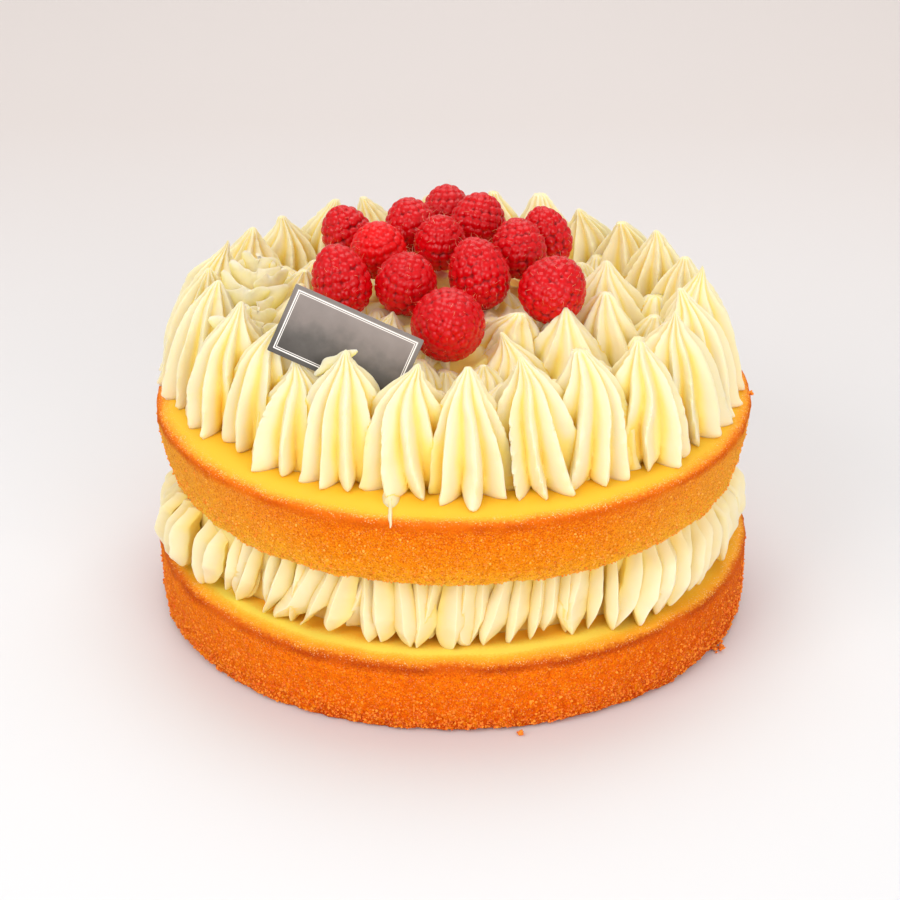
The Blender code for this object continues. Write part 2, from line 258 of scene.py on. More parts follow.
def build_mesh(name, points, quads, triangles, values=None, sharp_angle=None):
    """A mesh from arrays, in metres, with one number per point for each named value, shaded smooth."""
    quads = np.asarray(quads, dtype=np.int32).reshape(-1, 4)
    triangles = np.asarray(triangles, dtype=np.int32).reshape(-1, 3)
    mesh = bpy.data.meshes.new(name)
    mesh.vertices.add(len(points))
    mesh.vertices.foreach_set("co", (np.asarray(points) * MM).astype(np.float32).ravel())
    corners = np.concatenate([quads.ravel(), triangles.ravel()])
    mesh.loops.add(len(corners))
    mesh.loops.foreach_set("vertex_index", corners)
    mesh.polygons.add(len(quads) + len(triangles))
    starts = np.concatenate([np.arange(len(quads)) * 4, quads.size + np.arange(len(triangles)) * 3])
    mesh.polygons.foreach_set("loop_start", starts.astype(np.int32))
    mesh.update(calc_edges=True)
    mesh.validate()
    for key, numbers in (values or {}).items():
        attribute = mesh.attributes.new(key, "FLOAT", "POINT")
        attribute.data.foreach_set("value", np.asarray(numbers, dtype=np.float32).ravel())
    mesh.shade_smooth()
    if sharp_angle:
        mesh.set_sharp_from_angle(angle=math.radians(sharp_angle))
    return mesh


def tube_faces(rows, columns):
    """Quads of a grid that closes on itself along its columns, and fans to two poles that follow its points."""
    index = np.arange(rows * columns).reshape(rows, columns)
    following = np.roll(index, -1, axis=1)
    quads = np.stack([index[:-1], following[:-1], following[1:], index[1:]], axis=-1)
    foot = np.full(columns, rows * columns)
    fan_foot = np.stack([following[0], index[0], foot], axis=-1)
    fan_crown = np.stack([index[-1], following[-1], foot + 1], axis=-1)
    return quads.reshape(-1, 4), np.concatenate([fan_foot, fan_crown])


def tube_mesh(name, grid, foot, crown, values=None, sharp_angle=None):
    """A closed mesh of rings, lowest first and turning anticlockwise from above, with a pole at each end."""
    rows, columns = grid.shape[:2]
    points = np.concatenate([grid.reshape(-1, 3), [foot, crown]])
    quads, triangles = tube_faces(rows, columns)
    spread = {}
    for key, numbers in (values or {}).items():
        spread[key] = np.concatenate([numbers.ravel(), [numbers[0].mean(), numbers[-1].mean()]])
    return build_mesh(name, points, quads, triangles, spread, sharp_angle)


def add_piece(name, mesh, material, stands_for=()):
    """Puts a finished mesh in the scene, on the part's one body."""
    piece = bpy.data.objects.new(name, mesh)
    bpy.context.scene.collection.objects.link(piece)
    mesh.materials.clear()
    mesh.materials.append(material)
    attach(piece, "root")
    if stands_for:
        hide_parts(*stands_for)


def fuse(name, meshes, sharp_angle, seam_shade):
    """One skin round meshes that overlap.

    Each comes with its painted shade value plus one, so 0 marks the points where they newly meet, which get the
    painted shade given last.
    """
    group = bpy.data.collections.new(name)
    bpy.context.scene.collection.children.link(group)
    first = bpy.data.objects.new(name, meshes[0])
    bpy.context.scene.collection.objects.link(first)
    for mesh in meshes[1:]:
        group.objects.link(bpy.data.objects.new(mesh.name, mesh))
    union = first.modifiers.new("Union", "BOOLEAN")
    union.operation = "UNION"
    union.operand_type = "COLLECTION"
    union.collection = group
    union.solver = "MANIFOLD"
    graph = bpy.context.evaluated_depsgraph_get()
    fused = bpy.data.meshes.new_from_object(first.evaluated_get(graph))
    for item in [first, *group.objects]:
        bpy.data.objects.remove(item, do_unlink=True)
    bpy.data.collections.remove(group)
    crevice_shade = np.empty(len(fused.vertices), dtype=np.float32)
    fused.attributes["crevice_shade"].data.foreach_get("value", crevice_shade)
    crevice_shade = np.where(crevice_shade < 0.5, seam_shade, crevice_shade - 1.0)
    fused.attributes["crevice_shade"].data.foreach_set("value", crevice_shade.astype(np.float32))
    fused.shade_smooth()
    fused.set_sharp_from_angle(angle=math.radians(sharp_angle))
    return fused


# ---------------- materials

class Nodes:
    """Short ways to add shader nodes to one material."""

    def __init__(self, name):
        self.material = bpy.data.materials.new(name)
        self.material.use_nodes = True
        self.tree = self.material.node_tree
        self.shader = self.tree.nodes["Principled BSDF"]
        self.place = self.add("ShaderNodeTexCoord").outputs["Object"]

    def put(self, socket, value):
        """Links an output to a socket, or sets the socket to a number or colour."""
        if isinstance(value, bpy.types.NodeSocket):
            self.tree.links.new(value, socket)
        else:
            socket.default_value = value

    def add(self, kind, inputs=(), **settings):
        """A node with its settings, its inputs linked or set by name or number."""
        node = self.tree.nodes.new(kind)
        for key, value in settings.items():
            setattr(node, key, value)
        for key, value in dict(inputs).items():
            self.put(node.inputs[key], value)
        return node

    def attribute(self, name):
        return self.add("ShaderNodeAttribute", attribute_name=name).outputs["Fac"]

    def split(self, vector):
        """The three parts of a vector."""
        return self.add("ShaderNodeSeparateXYZ", {0: vector}).outputs

    def noise(self, size_mm, detail=2.0, roughness=0.5):
        """Fractal noise with features about that many millimetres wide, around 0.5."""
        inputs = {"Scale": 1.0 / (size_mm * MM), "Detail": detail, "Roughness": roughness, "Vector": self.place}
        return self.add("ShaderNodeTexNoise", inputs).outputs["Fac"]

    def cells(self, size_mm):
        """Distance to the nearest of scattered points about that many millimetres apart."""
        inputs = {"Scale": 1.0 / (size_mm * MM), "Vector": self.place}
        return self.add("ShaderNodeTexVoronoi", inputs).outputs["Distance"]

    def math(self, operation, a, b=0.0, clamp=False):
        return self.add("ShaderNodeMath", {0: a, 1: b}, operation=operation, use_clamp=clamp).outputs[0]

    def plus(self, a, b):
        return self.math("ADD", a, b)

    def times(self, a, b):
        return self.math("MULTIPLY", a, b)

    def size(self, a):
        """A number without its sign."""
        return self.math("ABSOLUTE", a)

    def span(self, value, low, high, to_low=0.0, to_high=1.0):
        """Maps low..high to to_low..to_high, held at the ends."""
        inputs = {"Value": value, "From Min": low, "From Max": high, "To Min": to_low, "To Max": to_high}
        return self.add("ShaderNodeMapRange", inputs).outputs["Result"]

    def ramp(self, value, stops):
        """Colours along 0..1, given as (place, sRGB colour from 0 to 255)."""
        node = self.add("ShaderNodeValToRGB", {"Fac": value})
        elements = node.color_ramp.elements
        while len(elements) < len(stops):
            elements.new(0.5)
        for element, (place, colour) in zip(elements, stops):
            element.position = place
            element.color = srgb(*colour)
        return node.outputs["Color"]

    def mix(self, share, a, b):
        return self.add("ShaderNodeMix", {0: share, 6: a, 7: b}, data_type="RGBA").outputs[2]

    def bump(self, height, distance_mm, strength):
        inputs = {"Strength": strength, "Distance": distance_mm * MM, "Height": height}
        return self.add("ShaderNodeBump", inputs).outputs["Normal"]

    def finish(self, **sockets):
        """Sets the shader's own sockets; names use spaces in place of underscores."""
        for key, value in sockets.items():
            self.put(self.shader.inputs[key.replace("_", " ")], value)
        return self.material


def srgb(red, green, blue):
    """A linear colour with alpha from screen values of 0 to 255."""
    channels = np.array((red, green, blue)) / 255
    linear = np.where(channels <= 0.04045, channels / 12.92, ((channels + 0.055) / 1.055) ** 2.4)
    return (*linear.tolist(), 1.0)


def sponge_material(name, yellow, side_and_bounce_stops, ring_colour, ring_pale, painted_flanks, pale_side, shaded, right_painted_shade=0.0):
    """Smooth yellow top, a toasted line round the rim, and an open crumb on the side.

    The side drifts towards the two colours given for its far left and right, painted light and shade for how the
    lamps fall on each side. The top turns a deeper yellow towards the right by the share that comes last, a painted
    warm shade, and its inner stop "shaded" is painted shade under the cream. The point value "from_rim" is the
    distance over
    the edge in millimetres: below 0 on top, above 0 on the side. The value "from_base" is the height above the
    sponge's own foot.
    """
    m = Nodes(name)
    fine, grain, sandy = m.noise(0.42, 3.0, 0.7), m.noise(0.8, 3.0, 0.65), m.noise(0.62, 1.0, 0.5)
    coarse, patches = m.noise(2.6, 2.0), m.noise(14.0, 2.0)
    from_rim, from_base, crumb = (m.attribute(key) for key in ("from_rim", "from_base", "crumb"))
    ragged = m.plus(m.plus(from_rim, m.span(grain, 0.3, 0.7, -0.8, 0.8)), m.span(patches, 0.3, 0.7, -0.7, 0.7))
    # The stops hold painted warm light reflected up from below; the upper layer is paler towards its foot.
    side = m.ramp(m.span(m.plus(from_base, m.span(patches, 0.3, 0.7, -1.5, 1.5)), 0.0, 22.0), side_and_bounce_stops)
    to_right = m.split(m.place)[0]
    # Painted light and shade: towards the far left and right the side turns to the two colours given for them.
    for painted_flank, sign in zip(painted_flanks, (-1, 1)):
        side = m.mix(m.span(m.times(to_right, sign), 0.035, 0.085, 0.0, 0.5), side, srgb(*painted_flank))
    dark, pale = m.mix(0.75, side, srgb(196, 60, 0)), m.mix(0.75, side, srgb(*pale_side))
    for texture, start, end, most, tone in (
        (fine, 0.48, 0.34, 0.9, dark), (fine, 0.54, 0.68, 0.9, pale),
        (sandy, 0.42, 0.28, 0.8, dark), (sandy, 0.58, 0.72, 0.8, pale),
    ):
        side = m.mix(m.span(texture, start, end, 0.0, most), side, tone)
    low_down = m.span(from_base, 1.0, 9.0, 1.0, 0.35)
    for start, end, most, tone in ((-0.1, -0.75, 0.9, dark), (0.15, 0.8, 0.8, pale)):
        side = m.mix(m.times(m.span(crumb, start, end, 0.0, most), low_down), side, tone)
    ring = m.mix(m.span(patches, 0.44, 0.62, 0.0, 0.7), ring_colour, ring_pale)
    ring = m.mix(m.span(fine, 0.5, 0.66, 0.0, 0.6), ring, ring_pale)
    # The inner stop, "shaded", is painted shade where the cream above shades the top.
    top = m.ramp(m.span(ragged, -22.0, 0.0), (
        (0.42, shaded), (0.62, yellow), (0.70, yellow),
        (0.80, (254, 194, 56)), (0.91, (248, 158, 40)), (1.0, (236, 118, 20)),
    ))
    # Painted warm shade: the top turns a deeper, more orange yellow towards the right.
    top = m.mix(m.span(to_right, 0.025, 0.070, 0.0, right_painted_shade), top, srgb(255, 178, 44))
    # Pale specks along the rim and a few on the side: partly pale crumbs, partly painted glints of the sparkling
    # edge.
    glints_and_pale_crumbs = m.times(m.span(m.cells(0.62), 0.34, 0.18, 0.0, 0.75), m.span(coarse, 0.40, 0.56, 0.1, 1.0))
    zone = m.span(m.size(m.plus(ragged, 2.2)), 0.8, 3.6, 1.0, 0.0)
    glints_and_pale_crumbs = m.times(glints_and_pale_crumbs, m.math("MAXIMUM", zone, m.span(from_rim, 0.5, 2.0, 0.0, 0.28)))
    colour = m.mix(m.span(ragged, -1.8, 0.4), top, ring)
    colour = m.mix(m.span(ragged, 0.6, 3.0), colour, side)
    colour = m.mix(glints_and_pale_crumbs, colour, srgb(255, 226, 170))
    on_side = m.span(from_rim, -2.2, 0.8)
    height = m.times(m.plus(m.times(fine, 0.9), m.times(m.cells(0.8), 0.7)), on_side)
    return m.finish(
        Base_Color=colour,
        Roughness=m.span(on_side, 0.0, 1.0, 0.45, 0.9),
        Normal=m.bump(height, 0.6, 0.9),
        Subsurface_Weight=0.30,
        Subsurface_Radius=(1.0, 0.45, 0.12),
        Subsurface_Scale=1.6 * MM,
        Specular_IOR_Level=0.08,
    )


def cream_material(name, crest, valley, deep, red_shade=None):
    """Pale satin cream with painted shade: clear yellow in grooves, deeper in gaps, red shade where values pass 1."""
    m = Nodes(name)
    crevice_shade = m.attribute("crevice_shade")
    depth = m.math("ADD", crevice_shade, m.span(m.noise(9.0, 2.0), 0.3, 0.7, -0.06, 0.06), clamp=True)
    colour = m.ramp(depth, ((0.0, (241, 228, 190)), (0.28, crest), (0.62, valley), (1.0, deep)))
    if red_shade:
        # Painted red shade where berries stand close together.
        colour = m.mix(m.span(crevice_shade, 1.05, 1.9), colour, srgb(*red_shade))
    return m.finish(
        Base_Color=colour,
        Roughness=0.42,
        Normal=m.bump(m.noise(1.1, 3.0, 0.6), 0.10, 0.35),
        Subsurface_Weight=0.75,
        Subsurface_Radius=(1.0, 0.92, 0.50),
        Subsurface_Scale=2.6 * MM,
        Specular_IOR_Level=0.45,
    )


def berry_material(name, skin, seam_shade):
    """Clear red skin, darker and duller in the seams between drupelets, each drupelet a little different.

    The darker seams are painted shade.
    """
    m = Nodes(name)
    seam_shade_share = m.span(m.attribute("seam_shade"), 0.25, 0.95)
    colour = m.mix(m.attribute("tint"), skin, srgb(216, 10, 20))
    colour = m.mix(seam_shade_share, colour, seam_shade)
    bloom = m.span(m.noise(3.2, 3.0), 0.52, 0.72, 0.0, 0.06)
    return m.finish(
        Base_Color=m.mix(bloom, colour, srgb(224, 96, 104)),
        Roughness=m.span(seam_shade_share, 0.0, 1.0, 0.15, 0.5),
        Normal=m.bump(m.noise(0.7, 2.0), 0.08, 0.5),
        Subsurface_Weight=0.35,
        Subsurface_Radius=(1.0, 0.16, 0.12),
        Subsurface_Scale=1.6 * MM,
        Specular_IOR_Level=0.28,
    )


def plain_material(name, colour, roughness, tint=None):
    """One colour, shifted by the point value "tint" where a second colour is given, with a fine uneven surface."""
    m = Nodes(name)
    base = m.mix(m.attribute("tint"), colour, tint) if tint else colour
    return m.finish(Base_Color=base, Roughness=roughness, Normal=m.bump(m.noise(0.6, 2.0), 0.08, 0.3))


def card_material():
    """Printed grey card: lighter above, darker below, with a dark margin and two fine pale border lines."""
    m = Nodes("plaque_print")
    across, up, _ = m.split(m.add("ShaderNodeUVMap", uv_map="face").outputs["UV"])
    edges = [m.math("SUBTRACT", length / 2, m.size(m.times(share, length)))
             for share, length in zip((across, up), PLAQUE_SIZE)]
    inset = m.math("MINIMUM", *edges)
    cloudy = m.plus(up, m.span(m.noise(5.0, 3.0), 0.3, 0.7, -0.10, 0.10))
    colour = m.ramp(m.plus(cloudy, 0.5), (
        (0.0, (66, 61, 56)), (0.35, (96, 90, 85)), (0.65, (134, 123, 117)), (1.0, (150, 138, 132)),
    ))
    margin = m.span(inset, 0.95, 1.15, 1.0, 0.0)
    colour = m.mix(m.times(margin, 0.45), colour, srgb(96, 92, 88))
    for line, half in ((1.45, 0.14), (2.0, 0.07)):
        off = m.size(m.math("SUBTRACT", inset, line))
        colour = m.mix(m.span(off, half, half + 0.06, 1.0, 0.0), colour, srgb(246, 240, 234))
    return m.finish(
        Base_Color=colour,
        Metallic=0.25,
        Roughness=m.span(m.noise(1.5, 2.0), 0.3, 0.7, 0.34, 0.46),
        Normal=m.bump(m.noise(0.4, 2.0), 0.02, 0.3),
    )


# ---------------- sponges

def even_outline(corners, rounding):
    """Radius and height every 0.1 mm along a folded line, averaged over the rounding so that its corners are soft."""
    step = 0.1
    corners = np.array(corners)
    length = np.concatenate([[0], np.cumsum(np.linalg.norm(np.diff(corners, axis=0), axis=1))])
    along = np.arange(0, length[-1], step)
    reach = int(rounding / (2 * step))
    return along, np.stack([moving_mean(np.interp(along, length, axis), reach) for axis in corners.T], axis=-1)


def sponge_mesh(name, corners, rim_corner, columns, roughness, seed):
    """A turned outline pushed out along its own normal by crumb relief.

    Relief is almost 0 on top. On the side it is a slow swell of 9 and 3.2 mm, lumps of 1.5 mm and grains of 0.8 mm,
    and the foot is eaten away in steps by a coarse noise.
    """
    along, line = even_outline(corners, 1.4)
    rim_at = along[np.argmin(np.linalg.norm(line - np.array(rim_corner), axis=1))]
    foot_at = along[np.nonzero(line[:, 1] > line[:, 1].min() + 0.6)[0][-1]]
    rows = np.concatenate([
        np.linspace(1.0, rim_at - 24, 8, endpoint=False),
        np.linspace(rim_at - 24, rim_at - 5, 14, endpoint=False),
        np.arange(rim_at - 5, foot_at + 3, 0.42),
        np.linspace(foot_at + 3.5, along[-1] - 1.0, 6),
    ])
    radius, height = (np.interp(rows, along, axis) for axis in line.T)
    slope_r, slope_z = np.gradient(radius, rows), np.gradient(height, rows)
    size = np.hypot(slope_r, slope_z)
    angle = full_turn(columns)
    points = around(radius[:, None], angle, height[:, None])
    outward = around((-slope_z / size)[:, None], angle, (slope_r / size)[:, None])
    from_rim, from_foot = (rows - rim_at)[:, None], (rows - foot_at)[:, None]
    on_side = smooth_step(-1.5, 3.0, from_rim) * smooth_step(2.5, -1.0, from_foot)
    lumps, grains = smooth_noise(points, 1.5, seed + 2), smooth_noise(points, 0.8, seed + 3)
    relief = 0.35 * smooth_noise(points, 9.0, seed) + 0.30 * smooth_noise(points, 3.2, seed + 1) * on_side
    relief += (0.42 * lumps + 0.30 * grains) * roughness * (0.4 + 0.6 * smooth_step(-16.0, -3.0, from_foot)) * on_side
    bites = smooth_step(0.0, 0.5, layered_noise(points, 2.6, seed + 4))
    relief -= roughness * 1.1 * bites * smooth_step(-5.0, 0.0, from_foot) * on_side
    relief = relief * (1 - smooth_step(-1.0, -8.0, from_rim)) - 0.45 * on_side - 0.12
    points = points + outward * (relief * smooth_step(4.0, 2.0, from_foot))[..., None]
    lowest = np.array(corners)[:, 1].min()
    points[..., 2] = np.maximum(points[..., 2], lowest)
    values = {
        "from_rim": from_rim + 0 * angle,
        "crumb": roughness * (0.6 * lumps + grains) * on_side,
        "from_base": points[..., 2] - lowest,
    }
    mesh = tube_mesh(name, points[::-1], (0, 0, corners[-1][1]), (0, 0, corners[0][1]),
                     {key: numbers[::-1] for key, numbers in values.items()})
    return mesh, points, outward, from_rim[:, 0]


def grain_shape():
    """The twelve corners and twenty faces of an icosahedron of radius 1."""
    golden = (1 + 5 ** 0.5) / 2
    corners = np.array([
        (-1, golden, 0), (1, golden, 0), (-1, -golden, 0), (1, -golden, 0),
        (0, -1, golden), (0, 1, golden), (0, -1, -golden), (0, 1, -golden),
        (golden, 0, -1), (golden, 0, 1), (-golden, 0, -1), (-golden, 0, 1),
    ])
    faces = np.array([
        (0, 11, 5), (0, 5, 1), (0, 1, 7), (0, 7, 10), (0, 10, 11), (1, 5, 9), (5, 11, 4), (11, 10, 2),
        (10, 7, 6), (7, 1, 8), (3, 9, 4), (3, 4, 2), (3, 2, 6), (3, 6, 8), (3, 8, 9), (4, 9, 5),
        (2, 4, 11), (6, 2, 10), (8, 6, 7), (9, 8, 1),
    ])
    return corners / np.linalg.norm(corners[0]), faces


def grains_mesh(name, places, sizes, rng):
    """Small lumps: at each place an icosahedron with every corner pulled in or out by up to a third."""
    corners, faces = grain_shape()
    count = len(places)
    lumps = corners[None] * rng.uniform(0.66, 1.25, (count, 12, 1)) * rng.uniform(0.7, 1.15, (count, 1, 3))
    frame_a = unit(rng.normal(size=(count, 3)))
    frame_b = unit(np.cross(frame_a, rng.normal(size=(count, 3))))
    turns = np.stack([frame_a, frame_b, np.cross(frame_a, frame_b)], axis=1)
    points = places[:, None] + np.einsum("nij,njk->nik", lumps, turns) * sizes[:, None, None]
    triangles = faces[None] + 12 * np.arange(count)[:, None, None]
    tint = np.repeat(rng.uniform(0, 1, count), 12)
    return build_mesh(name, points.reshape(-1, 3), [], triangles, {"tint": tint})


def grains_on_side(points, outward, from_rim, count, biggest, low_bias, rng):
    """Places just proud of random points of a sponge's side, more of them towards the foot."""
    rows = np.nonzero((from_rim > 1.5) & (points[:, 0, 2] > points[..., 2].min() + 0.3))[0]
    share = rng.uniform(0, 1, count) ** low_bias
    row = rows[(share * (len(rows) - 1)).astype(int)]
    column = rng.integers(0, points.shape[1], count)
    sizes = rng.uniform(0.22, 1.0, count) ** 2 * biggest + 0.16
    places = points[row, column] + outward[row, column] * (sizes * 0.15)[:, None]
    return places, sizes


def with_crumbs(places, sizes, middle, count, spread, rng):
    """Adds a little heap of larger crumbs round one point."""
    heap = np.array(middle) + rng.normal(0, 1, (count, 3)) * np.array((spread, spread, spread * 0.4))
    own = rng.uniform(0.35, 0.8, count)
    heap[:, 2] = np.maximum(heap[:, 2], own)
    return np.concatenate([places, heap]), np.concatenate([sizes, own])


def make_sponge(layer, corners, roughness, seed, look, grains, heaps, grain_look, rng):
    """One layer with loose grains on its side.

    Its corners run down from the middle of the top, and the fourth is the rim. Grains are how many, the biggest,
    and how much they gather at the foot; a heap of crumbs is its middle, how many and how far they scatter.
    """
    name = f"{layer}_sponge_crumb"
    mesh, *side = sponge_mesh(name, corners, corners[3], SPONGE_COLUMNS, roughness, seed)
    add_piece(name, mesh, look, (f"sponge_{layer}",))
    places, sizes = grains_on_side(*side, *grains, rng)
    for heap in heaps:
        places, sizes = with_crumbs(places, sizes, *heap, rng)
    add_piece(f"{layer}_sponge_grains", grains_mesh("grains", places, sizes, rng), grain_look)


def make_sponges():
    """Both layers. The side's colours run from the foot up, with painted warm light reflected up from below."""
    rng = np.random.default_rng(21)
    make_sponge("lower", (
        (1.0, LOWER_TOP), (84.0, LOWER_TOP), (88.3, LOWER_TOP - 0.1), (90.1, LOWER_TOP - 1.0),
        (LOWER_RIM, LOWER_TOP - 3.0), (90.5, 9.0), (90.3, 2.6), (89.6, 0.6), (88.4, 0.0), (1.0, 0.0),
    ), roughness=1.0, seed=31, look=sponge_material(
        "lower_sponge", yellow=(255, 230, 98), shaded=(255, 188, 58), right_painted_shade=0.65,
        side_and_bounce_stops=((0.0, (200, 70, 0)), (0.10, (222, 84, 0)), (0.35, (244, 106, 0)), (0.80, (250, 114, 0)),
                    (1.0, (240, 104, 2))),
        ring_colour=srgb(188, 68, 6), ring_pale=srgb(226, 100, 12), painted_flanks=((244, 126, 22), (188, 28, 0)),
        pale_side=(255, 158, 14),
    ), grains=(7500, 0.36, 0.42), heaps=(((79.4, -43.4, 0.7), 18, 1.0), ((18.8, -90.4, 0.6), 9, 0.5)),
        grain_look=plain_material("loose_crumb", srgb(232, 96, 4), 0.9, srgb(255, 158, 44)), rng=rng)
    make_sponge("upper", (
        (1.0, UPPER_TOP), (84.0, UPPER_TOP), (87.8, UPPER_TOP - 0.1), (89.5, UPPER_TOP - 1.0),
        (UPPER_RIM, UPPER_TOP - 2.8), (88.8, 56.0), (86.6, 48.2), (85.2, UPPER_BOTTOM + 1.2),
        (82.8, UPPER_BOTTOM), (1.0, UPPER_BOTTOM),
    ), roughness=0.75, seed=47, look=sponge_material(
        "upper_sponge", yellow=(253, 199, 60), shaded=(255, 196, 52),
        side_and_bounce_stops=((0.0, (255, 200, 70)), (0.12, (255, 174, 36)), (0.40, (252, 143, 6)), (0.75, (246, 122, 0)),
                    (1.0, (238, 104, 0))),
        ring_colour=srgb(212, 86, 2), ring_pale=srgb(238, 118, 12), painted_flanks=((255, 200, 74), (255, 194, 68)),
        pale_side=(255, 178, 30),
    ), grains=(5000, 0.30, 0.5), heaps=(((89.4, -4.3, UPPER_TOP - 0.8), 9, 0.4),),
        grain_look=plain_material("pale_crumb", srgb(246, 130, 8), 0.9, srgb(255, 184, 70)), rng=rng)


# ---------------- cream

def pressed_height(tip, tall):
    """The height left to a dollop whose tip lies under a berry or under the plaque's lower left corner."""
    corner = PLAQUE_CENTRE[:2] + np.array((-18.0, -4.0))
    if np.linalg.norm(tip - corner) < PRESS_REACH["plaque"]:
        tall = min(tall, PLAQUE_PRESS)
    for number, (_, half_length, _, _) in enumerate(BERRIES, 1):
        middle = berry_middle(number)
        if np.linalg.norm(tip - middle[:2]) < PRESS_REACH["berry"]:
            tall = min(tall, middle[2] - 0.75 * half_length - UPPER_TOP)
    return tall


def ring_shift(angle, shifts):
    """Steps in or out of an oval: a bell curve round each named direction, in degrees, spread and millimetres."""
    total = 0.0
    for middle, spread, amount in shifts:
        off = (math.degrees(angle) - middle + 180) % 360 - 180
        total += amount * math.exp(-(off / spread) ** 2)
    return total


def piped_row(row, draw):
    """The dollops of one oval ring, each a little different, drawn in the order that the solid uses."""
    step = TAU / row["count"]
    dollops = []
    for index in range(row["count"]):
        angle = math.radians(row["first_angle"]) + step * (index + draw.uniform(-0.08, 0.08))
        away = np.array((math.cos(angle), math.sin(angle)))
        across = np.array((-away[1], away[0]))
        place = RING_CENTRE + row["ring"] * away + away * draw.uniform(-1.2, 1.2)
        place = place + away * ring_shift(angle, row["shifts"])
        sideways = across * draw.uniform(-2.0, 2.0)
        lean = sideways - away * (row["lean"] + draw.uniform(-1.5, 1.5))
        widths = row["foot"] * draw.uniform(0.95, 1.06)
        draw.uniform(1.0, 2.2)
        tall = row["height"] - row["back_drop"] * max(0.0, away[1]) + draw.uniform(-1.8, 1.4)
        phase = draw.uniform(0.0, TAU / FLUTES)
        twist = draw.uniform(-0.5, 0.5)
        dollops.append({
            "place": place, "away": away, "across": across, "lean": lean, "widths": widths, "base": UPPER_TOP,
            "tall": pressed_height(place + lean, tall), "phase": phase, "twist": twist, "skirt": row["skirt"],
        })
    return dollops


def kiss_width(share):
    """Width of an upright dollop at a share of its height: 1.06 * (1 - share^2.4)^0.9."""
    return 1.06 * (1 - np.clip(share, 0, 1) ** 2.4) ** 0.9


def mound_width(share):
    """Width of a low blunt dollop at a share of its height: (1 - share^2.2)^0.6."""
    return (1 - np.clip(share, 0, 1) ** 2.2) ** 0.6


def closeness(points, dollops, own, width):
    """How near points are to the bodies of the other dollops: exp(-gap / 0.16), with the gap in body widths."""
    nearest = np.zeros(points.shape[:-1])
    for index, other in enumerate(dollops):
        if index == own:
            continue
        share = np.clip((points[..., 2] - other["base"]) / other["tall"], 0, 1)
        offset = points[..., :2] - other["place"] - other["lean"] * share[..., None] ** 1.5
        size = np.maximum(width(share), 0.04)
        a = offset @ other["away"] / (other["widths"][0] * size)
        b = offset @ other["across"] / (other["widths"][1] * size)
        gap = np.clip(np.hypot(a, b) - 0.92, 0, 4)
        above = smooth_step(1.06, 0.94, (points[..., 2] - other["base"]) / other["tall"])
        nearest = np.maximum(nearest, np.exp(-gap / 0.16) * above)
    return nearest


